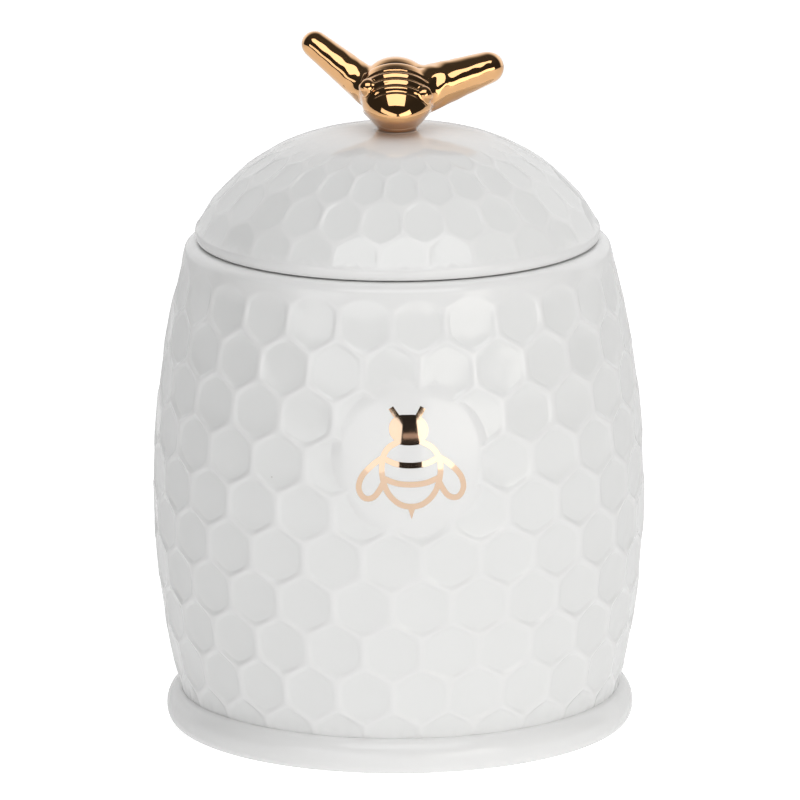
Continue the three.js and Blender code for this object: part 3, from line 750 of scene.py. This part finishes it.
tangents = np.gradient(dome, axis=0)
tangents /= np.linalg.norm(tangents, axis=1, keepdims=True)
hollow_side = dome + LID_WALL * np.stack([-tangents[:, 1], tangents[:, 0]], axis=1)
hollow_side = [tuple(p) for p in hollow_side[::HOLLOW_STEP] if HOLLOW_REACH[0] < p[0] < HOLLOW_REACH[1]]
collar = rounded([
    (LID_RADIUS - LIP_EDGE_ROUND - 1 * MM, LIP_UNDERSIDE, 0),
    (COLLAR_RADIUS, LIP_UNDERSIDE, COLLAR_ROOT_ROUND),
    (COLLAR_RADIUS, LIP_UNDERSIDE - GROOVE_TOP, GROOVE_ROUND),
    (GROOVE_RADIUS, LIP_UNDERSIDE - GROOVE_TOP, GROOVE_ROUND),
    (GROOVE_RADIUS, LIP_UNDERSIDE - GROOVE_BOTTOM, GROOVE_ROUND),
    (COLLAR_RADIUS, LIP_UNDERSIDE - GROOVE_BOTTOM, GROOVE_ROUND),
    (COLLAR_RADIUS, LIP_UNDERSIDE - COLLAR_DEPTH, COLLAR_ROUND),
    (COLLAR_INNER_RADIUS, LIP_UNDERSIDE - COLLAR_DEPTH, COLLAR_ROUND),
    (COLLAR_INNER_RADIUS, LIP_UNDERSIDE, 0),
], parts=5)
edge_foot = (LID_RADIUS, widest_level - EDGE_FLAT)
carried_on(
    lid_shell,
    lid_foot,
    quarter(on_dome(LIP_BAND), edge_foot, parts=5, level_first=True)
    + quarter(edge_foot, (LID_RADIUS - LIP_EDGE_ROUND, LIP_UNDERSIDE), parts=5)
    + collar
    + hollow_side
    + [(0, crown_level - LID_WALL)],
)
crown_end = dome_lengths[-1] - SEAT_RADIUS - CROWN_END
crown = [on_dome(distance) for distance in np.linspace(LID_SKIN_TOP, crown_end, 12)[1:]]
carried_on(
    lid_shell,
    lid_top,
    crown
    + rounded([
        (*crown[-1], 0),
        (SEAT_RADIUS, crown_level, SEAT_ROUND),
        (SEAT_RADIUS - SEAT_SLOPE, crown_level + SEAT_RISE, SEAT_ROUND),
        (0, crown_level + SEAT_RISE, 0),
    ], parts=4)[1:]
)
lid = link_object("glazed_lid", finished_shell(lid_shell, "glazed_lid", JAR_SHARP), porcelain)
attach(lid, "lid")
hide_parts("lid_dome")


# Seal. A ring of soft white silicone, moulded with two thin fins that wipe the mouth of the jar. It is
# stretched over the collar and sits in its groove.
SEAL_INNER_RADIUS = 38 * MM
SEAL_WEB_RADIUS = 38.9 * MM
SEAL_OUTER_RADIUS = 40.4 * MM
SEAL_TOP = LIP_UNDERSIDE - 3 * MM
SEAL_HEIGHT = 3 * MM
FIN_THICKNESS = 0.7 * MM
FIN_DROOP = 0.25 * MM
FIN_TAPER = 0.6  # thickness at a fin's edge, as a share
SEAL_ROUND = 0.12 * MM
SEAL_PARTS = 160


def silicone():
    """Moulded silicone: milky, soft and matt, with a faint bloom of dust."""
    material, tree, shader, place = new_material("moulded_silicone")
    bloom = noise(tree, place, 4 * MM, 4)
    colour = mixed(tree, bloom, "#E2E0DA", "#EDEBE6")
    matt = ranged(tree, bloom, 0, 1, 0.42, 0.62)
    fill(tree, shader, {"Base Color": colour, "Roughness": matt, "IOR": 1.41})
    milkiness = {"Subsurface Weight": 0.3, "Subsurface Radius": (1 * MM,) * 3, "Subsurface Scale": 1}
    fill(tree, shader, milkiness)
    return material


def ring_of(path, parts, name):
    """Closed ring from a closed (radius, level) path."""
    shell = bmesh.new()
    columns = []
    for part in range(parts):
        turn = 2 * pi * part / parts
        columns.append([shell.verts.new(around(radius, level, turn)) for radius, level in path])
    for i in range(parts):
        bridge(shell, columns[i - 1], columns[i])
    return finished_shell(shell, name, radians(50))


seal_corners = [(SEAL_INNER_RADIUS, SEAL_TOP - SEAL_HEIGHT), (SEAL_INNER_RADIUS, SEAL_TOP)]
for fin_top in (SEAL_TOP, SEAL_TOP - SEAL_HEIGHT + FIN_THICKNESS + FIN_DROOP):
    seal_corners += [
        (SEAL_WEB_RADIUS, fin_top),
        (SEAL_OUTER_RADIUS, fin_top - FIN_DROOP),
        (SEAL_OUTER_RADIUS, fin_top - FIN_DROOP - FIN_THICKNESS * FIN_TAPER),
        (SEAL_WEB_RADIUS, fin_top - FIN_THICKNESS),
    ]
seal_path = rounded([(*corner, SEAL_ROUND) for corner in seal_corners], parts=3)
seal = link_object("silicone_seal", ring_of(seal_path, SEAL_PARTS, "silicone_seal"), silicone())
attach(seal, "seal")
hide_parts("lid_seal")


# Gilt bee. The knob is one porcelain moulding, a plump bee with raised wings on a short neck, stuck to the
# lid with slip and glazed with it. It is painted all over with bright gold, so it mirrors the room.
KNOB_MIDDLE = Vector((0, 0, crown_level + 8.1 * MM))
BEE_RADIUS = 8 * MM
BEE_HALF_LENGTH = 11.6 * MM
BEE_HEIGHT_SHARE = 0.83
BEE_YAW = radians(-4)
BEE_PITCH = radians(27.5)
BODY_TURN = radians(8)  # of the body alone
BEE_ROLL = radians(6.6)
NECK_BASE_LEVEL = -8 * MM  # on the seat
NECK_BASE_RADIUS = 4 * MM
NECK_TOP_LEVEL = -3.95 * MM
NECK_TOP_RADIUS = 7.2 * MM
CHIN_REACH = 11.5 * MM  # how far forward the underside of the head comes, at the top of the neck
WING_ROOT = 7 * MM
WING_THICKNESS_SHARE = 0.95
WING_SWEEP = radians(21.5)
# For the left and the right wing: how far under the middle it springs, its length from there to the middle of
# its round tip, its rise, and its radii at the root and the tip.
WINGS = {
    -1: (3.7 * MM, 22.4 * MM, radians(26.8), 4.1 * MM, 3 * MM),
    1: (1.6 * MM, 20.9 * MM, radians(21.3), 5.25 * MM, 3.6 * MM),
}
JOINT_ROUND = 0.9 * MM  # how softly the parts of the moulding run together
KNOB_GRAIN = 0.26 * MM  # distance between the points of its mesh

# Lengths from the tip of the head and radii, as shares of the half length and the radius.
BEE_PROFILE = [
    (0, 0), (0, 0.14), (0.04, 0.34), (0.13, 0.55), (0.28, 0.74), (0.48, 0.89), (0.75, 0.98), (1.02, 1),
    (1.17, 0.96), (1.19, 0.86), (1.25, 0.87), (1.4, 0.83), (1.55, 0.68), (1.68, 0.45), (1.76, 0.22),
    (1.79, 0.06), (1.79, 0),
]
BEAD_START = -6.6 * MM  # the beads across the bee's back, counted from its middle
BEAD_WIDTH = 1.9 * MM
BEADS = 3
BEAD_RISE = 0.19 * MM
BEAD_SIDES = (0.3, 0.65)  # how steep the back's round is where a bead runs out and where it is whole
LUMP_PLACE = (6 * MM, -5 * MM, 1.2 * MM)  # of a lump of slip at each wing's root, from the bee's middle
LUMP_RADIUS = 1.9 * MM
DENT_DEPTH = (0.016 * MM, 0.08 * MM)  # of the hand's dents, over the wings and at their roots
DENT_WIDTHS = np.array((5.3, 4.7, 3.9)) * MM
DENT_SHIFTS = (0.4, 1.9, 0.7)
DENT_SLANT = (0.8, 0.5, -0.6)
WING_START = (5.5 * MM, 8 * MM)  # from the bee's middle, where the dents set in
ROOT_END = (12.5 * MM, 9 * MM)  # where the deeper ones at the roots run out
NECK_FLARE_SHARE = 0.85  # distance to the neck's slanting side over the distance on the level
CHIN_FLARE_SHARE = 0.8
NECK_FOOT_ROUND = 0.3 * MM


def softened(points, rounds):
    """Path with its corners cut again and again, which leaves a smooth curve."""
    points = np.array(points, float)
    for _ in range(rounds):
        ahead, behind = points[:-1], points[1:]
        cut = np.stack([0.75 * ahead + 0.25 * behind, 0.25 * ahead + 0.75 * behind], axis=1).reshape(-1, 2)
        points = np.concatenate([points[:1], cut, points[-1:]])
    return points


def distance_to_path(path, points):
    """Distance from each point to a path, both in a plane."""
    best = np.full(len(points), np.inf)
    for start, end in zip(path, path[1:]):
        run = end - start
        share = ((points - start) @ run / (run @ run)).clip(0, 1)
        best = np.minimum(best, np.linalg.norm(points - start - share[:, None] * run, axis=1))
    return best


bee_line = softened(BEE_PROFILE, 3) * (BEE_HALF_LENGTH, BEE_RADIUS) - (BEE_HALF_LENGTH, 0)

# Signed distance to the turned body on a fine table over (length along it, distance from its axis).
TABLE_STEP = 0.05 * MM
TABLE_LENGTH = 17 * MM  # to each side of the middle
TABLE_HEIGHT = 16 * MM
table_along = np.arange(-TABLE_LENGTH, TABLE_LENGTH, TABLE_STEP)
table_out = np.arange(0, TABLE_HEIGHT, TABLE_STEP)
table_points = np.stack(np.meshgrid(table_along, table_out, indexing="ij"), axis=-1).reshape(-1, 2)
body_table = distance_to_path(bee_line, table_points)
body_radius = np.interp(table_points[:, 0], bee_line[:, 0], bee_line[:, 1], left=-1, right=-1)
body_table[table_points[:, 1] < body_radius] *= -1
body_table = body_table.reshape(len(table_along), len(table_out))


def turned_distance(along, out):
    """Signed distance to the turned body, read between the places of the table."""
    i = ((along - table_along[0]) / TABLE_STEP).clip(0, len(table_along) - 1.001)
    j = (out / TABLE_STEP).clip(0, len(table_out) - 1.001)
    a, b = i.astype(int), j.astype(int)
    i, j = i - a, j - b
    low = body_table[a, b] * (1 - j) + body_table[a, b + 1] * j
    high = body_table[a + 1, b] * (1 - j) + body_table[a + 1, b + 1] * j
    return low * (1 - i) + high * i


def run_together(first, second, softness):
    """Smooth union of two signed distances."""
    share = (0.5 + 0.5 * (second - first) / softness).clip(0, 1)
    return second + (first - second) * share - softness * share * (1 - share)


bee_frame = np.array(Matrix.Rotation(BEE_YAW, 3, "Z") @ Matrix.Rotation(BEE_ROLL, 3, "Y"))
body_turn = Matrix.Rotation(BODY_TURN, 3, "Z") @ Matrix.Rotation(BEE_PITCH, 3, "X")
body_frame = bee_frame @ np.array(body_turn)


def wing_distance(points, side):
    """Signed distance to one wing, a flattened cone with round ends. side is 1 for the right one."""
    drop, tip, rise, root_radius, tip_radius = WINGS[side]
    wing_frame = np.array(Matrix.Rotation(WING_SWEEP, 3, "Z") @ Matrix.Rotation(-rise, 3, "Y"))
    own = ((points @ bee_frame) * (side, 1, 1) + (0, 0, drop)) @ wing_frame
    out = np.hypot(own[:, 1], own[:, 2] / WING_THICKNESS_SHARE)
    length = tip - WING_ROOT
    slope = (root_radius - tip_radius) / length
    cosine = sqrt(1 - slope**2)
    along = own[:, 0] - WING_ROOT
    place = along * cosine - out * slope
    cone = out * cosine + along * slope - root_radius
    root = np.hypot(along, out) - root_radius
    end = np.hypot(along - length, out) - tip_radius
    return np.where(place < 0, root, np.where(place > length * cosine, end, cone)) * WING_THICKNESS_SHARE


def smooth_step(values, start, end):
    """0 before start, 1 past end, and a soft rise between."""
    share = ((values - start) / (end - start)).clip(0, 1)
    return share * share * (3 - 2 * share)


def knob_distance(points):
    """Signed distance from the gilt surface, counted from the middle of the bee."""
    own = points @ body_frame
    out = np.hypot(own[:, 0], own[:, 2] / BEE_HEIGHT_SHARE)
    body = turned_distance(own[:, 1], out) * BEE_HEIGHT_SHARE
    count = (own[:, 1] - BEAD_START) / BEAD_WIDTH
    upward = smooth_step(own[:, 2] / out.clip(0.1 * MM), *BEAD_SIDES)
    window = smooth_step(count, -0.5, 0) * smooth_step(count, BEADS + 0.5, BEADS)
    body -= BEAD_RISE * window * upward * -np.cos(2 * pi * count)
    share = (points[:, 2] - NECK_BASE_LEVEL) / (NECK_TOP_LEVEL - NECK_BASE_LEVEL)
    tops = (NECK_TOP_RADIUS, CHIN_REACH)
    flare, chin = (NECK_BASE_RADIUS + (top - NECK_BASE_RADIUS) * share for top in tops)
    neck = (np.hypot(points[:, 0], points[:, 1]) - flare) * NECK_FLARE_SHARE
    neck = np.maximum(neck, points[:, 2] - NECK_TOP_LEVEL)
    flare, chin = flare.clip(1 * MM), chin.clip(1 * MM)
    underside = (np.hypot(points[:, 0] / flare, points[:, 1] / chin) - 1) * flare * CHIN_FLARE_SHARE
    body = -run_together(-body, -underside, JOINT_ROUND)
    knob = run_together(body, neck, JOINT_ROUND)
    for side in (-1, 1):
        knob = run_together(knob, wing_distance(points, side), JOINT_ROUND)
        lump = np.linalg.norm(points @ bee_frame - np.array(LUMP_PLACE) * (side, 1, 1), axis=1) - LUMP_RADIUS
        knob = run_together(knob, lump, JOINT_ROUND / 2)
    off_axis = np.abs(points[:, 0])
    dents = np.sin(2 * pi * points / DENT_WIDTHS + DENT_SHIFTS).sum(axis=1)
    dents *= np.sin(2 * pi * points @ DENT_SLANT / DENT_WIDTHS[0])
    over_wings = smooth_step(off_axis, *WING_START)
    at_roots = over_wings * smooth_step(off_axis, *ROOT_END)
    knob += dents * (DENT_DEPTH[0] * over_wings + (DENT_DEPTH[1] - DENT_DEPTH[0]) * at_roots)
    base = NECK_BASE_LEVEL - points[:, 2]
    return -run_together(-knob, -base, NECK_FOOT_ROUND)


def skin_of(distance, low, high, step):
    """Points and quads of the surface where a signed distance is zero, one point in each crossed cube."""
    axes = [np.arange(start, end, step) for start, end in zip(low, high)]
    spots = np.stack(np.meshgrid(*axes, indexing="ij"), axis=-1)
    values = distance(spots.reshape(-1, 3)).reshape(spots.shape[:3])
    cubes = values.shape
    total = np.zeros((values.size, 3))
    count = np.zeros(values.size)
    quads = []
    for axis in range(3):
        others = [(axis + 1) % 3, (axis + 2) % 3]
        turned = np.moveaxis(values, (axis, *others), (0, 1, 2))
        found = np.nonzero((turned[:-1] < 0) != (turned[1:] < 0))
        start, end = turned[found], turned[found[0] + 1, found[1], found[2]]
        corner = np.zeros((len(start), 3), int)
        for place, along in zip((axis, *others), found):
            corner[:, place] = along
        crossing = corner.astype(float)
        crossing[:, axis] += start / (start - end)
        ring = []
        for back in ((1, 1), (0, 1), (0, 0), (1, 0)):
            cube = corner.copy()
            cube[:, others[0]] -= back[0]
            cube[:, others[1]] -= back[1]
            name = np.ravel_multi_index(cube.T, cubes)
            np.add.at(total, name, crossing)
            np.add.at(count, name, 1)
            ring.append(name)
        quad = np.stack(ring, axis=1)
        outward = start < 0
        quads.append(np.where(outward[:, None], quad, quad[:, ::-1]))
    quads = np.concatenate(quads)
    used = np.unique(quads)
    return total[used] / count[used, None] * step + np.array(low), np.searchsorted(used, quads)


def drawn_to_surface(distance, points, rounds):
    """Moves points straight on to the surface where a signed distance is zero."""
    nudge = 0.03 * MM
    for _ in range(rounds):
        changes = [distance(points + nudge * axis) - distance(points - nudge * axis) for axis in np.eye(3)]
        slope = np.stack([change / (2 * nudge) for change in changes], axis=1)
        steepness = (slope**2).sum(axis=1).clip(0.05)
        points = points - (distance(points) / steepness)[:, None] * slope
    return points


KNOB_BOX = np.array([(-28, -17, -9), (28, 17, 15)]) * MM  # corners of the space that is searched for it
knob_points, knob_quads = skin_of(knob_distance, *KNOB_BOX, KNOB_GRAIN)
knob_points = drawn_to_surface(knob_distance, knob_points, 3)
knob_mesh = bpy.data.meshes.new("gilt_bee")
knob_mesh.from_pydata((knob_points + np.array(KNOB_MIDDLE)).tolist(), [], knob_quads.tolist())
knob_mesh.shade_smooth()
gold = gilding("bright_gold_lustre", "#F2BD82", "#E7AC6E", (0.02, 0.07))
knob = link_object("gilt_bee", knob_mesh, gold)
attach(knob, "lid")
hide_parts("bee_body", "bee_left_wing", "bee_right_wing")


# Studio. The pot stands on white paper, with a wide soft lamp to the right of the camera, one overhead, a
# card on the left and a fill from the front. The room behind the camera is dark, which shows in the gold.
TABLE_FRONT = 900 * MM
SWEEP_HALF = 3000 * MM
SWEEP_LIFT = (0.36, 0.3, 0.65)  # for light that scatters, for what the gloss mirrors, and for the camera
LAMP_AIM = Vector((0, 0, 90)) * MM
# Degrees to the right of the camera and up, tilt, distance, width and height, watts, colour, and what sees
# it. The bar is a strip of wood between the lamp and the card, mirrored in the head of the printed bee.
LAMPS = {
    "right_lamp": (30.8, 1.3, 22, 1420, (1080, 463), 3.4, "#FFFCF6", ("diffuse", "glossy")),
    "left_card": (-27.2, 3.3, -18, 1420, (1530, 395), 2.7, "#FFFFFF", ("glossy",)),
    "overhead_lamp": (2, 54, 0, 1200, (1150, 760), 4.9, "#FFFFFF", ("diffuse", "glossy")),
    "front_fill": (-3, 25, 0, 1500, (900, 900), 2.6, "#FFFFFF", ("diffuse",)),
    "wooden_bar": (5.7, -0.36, 0, 1420, (185, 17), 0.0052, "#FFE6D9", ("glossy",)),
}
# Strength of the room to the left and to the right, and of the white behind and overhead, for light that
# scatters and for what the gloss mirrors.
SCATTERED_LIGHT = (0.02, 0.24, 0.35, 1.45)
MIRRORED_ROOM = (0.03, 0.03, 1.05, 0.05)
# Parts of a direction's length, across, back and up, between which each of them gives way to the next.
ROOM_SIDES = (-0.7, 0.7)
ROOM_BACK = (0.3, 0.65)
SCATTERED_TOP = (0.84, 0.94)
MIRRORED_TOP = (0.45, 0.95)


def white_sweep():
    """Matt white paper. What the camera sees of it is lifted towards white, and it keeps its shadows."""
    material, tree, shader, _ = new_material("white_paper_sweep")
    rays = add(tree, "ShaderNodeLightPath").outputs
    lift = SWEEP_LIFT[0]
    for seen, further in zip(("Is Glossy Ray", "Is Camera Ray"), SWEEP_LIFT[1:]):
        lift = ranged(tree, rays[seen], 0, 1, lift, further)
    fill(tree, shader, {"Base Color": to_linear("#EDEDED"), "Roughness": 0.9})
    fill(tree, shader, {"Emission Color": (1, 1, 1, 1), "Emission Strength": lift})
    return material


def room_strength(tree, direction, strengths, top):
    """Strength of the room in a direction: from its left to its right, the white behind and the ceiling."""
    parts = add(tree, "ShaderNodeSeparateXYZ", {0: direction}).outputs
    strength = strengths[0]
    for part, edge, further in zip(parts, (ROOM_SIDES, ROOM_BACK, top), strengths[1:]):
        strength = ranged(tree, part, *edge, strength, further, interpolation_type="SMOOTHSTEP")
    return strength


front, back = -TABLE_FRONT, 2 * SWEEP_HALF
corners = [(-SWEEP_HALF, front, 0), (SWEEP_HALF, front, 0), (SWEEP_HALF, back, 0), (-SWEEP_HALF, back, 0)]
sweep_mesh = bpy.data.meshes.new("sweep")
sweep_mesh.from_pydata(corners, [], [(0, 1, 2, 3)])
sweep = link_object("sweep", sweep_mesh, white_sweep())

for name, (turn, rise, tilt, distance, size, watts, colour, seen_by) in LAMPS.items():
    lamp_data = bpy.data.lights.new(name, "AREA")
    lamp_data.shape = "RECTANGLE"
    lamp_data.size, lamp_data.size_y = (side * MM for side in size)
    lamp_data.energy = watts
    lamp_data.color = to_linear(colour)[:3]
    lamp = link_object(name, lamp_data)
    turn, rise = radians(turn), radians(rise)
    from_pot = Vector(around(cos(rise), sin(rise), turn))
    lamp.location = LAMP_AIM + from_pot * distance * MM
    lamp.rotation_mode = "QUATERNION"
    lamp.rotation_quaternion = from_pot.to_track_quat("Z", "Y") @ Quaternion((0, 0, 1), radians(tilt))
    lamp.visible_diffuse = "diffuse" in seen_by
    lamp.visible_glossy = "glossy" in seen_by

world = bpy.data.worlds.new("studio_room")
scene.world = world
world.use_nodes = True
room = world.node_tree
background = room.nodes["Background"]
direction = add(room, "ShaderNodeTexCoord").outputs["Generated"]
rays = add(room, "ShaderNodeLightPath").outputs
glossy = maths(room, "MAXIMUM", rays["Is Glossy Ray"], rays["Is Transmission Ray"])
strength = room_strength(room, direction, SCATTERED_LIGHT, SCATTERED_TOP)
mirrored_strength = room_strength(room, direction, MIRRORED_ROOM, MIRRORED_TOP)
strength = ranged(room, glossy, 0, 1, strength, mirrored_strength)
strength = ranged(room, rays["Is Camera Ray"], 0, 1, strength, 1)
fill(room, background, {"Color": (1, 1, 1, 1), "Strength": strength})
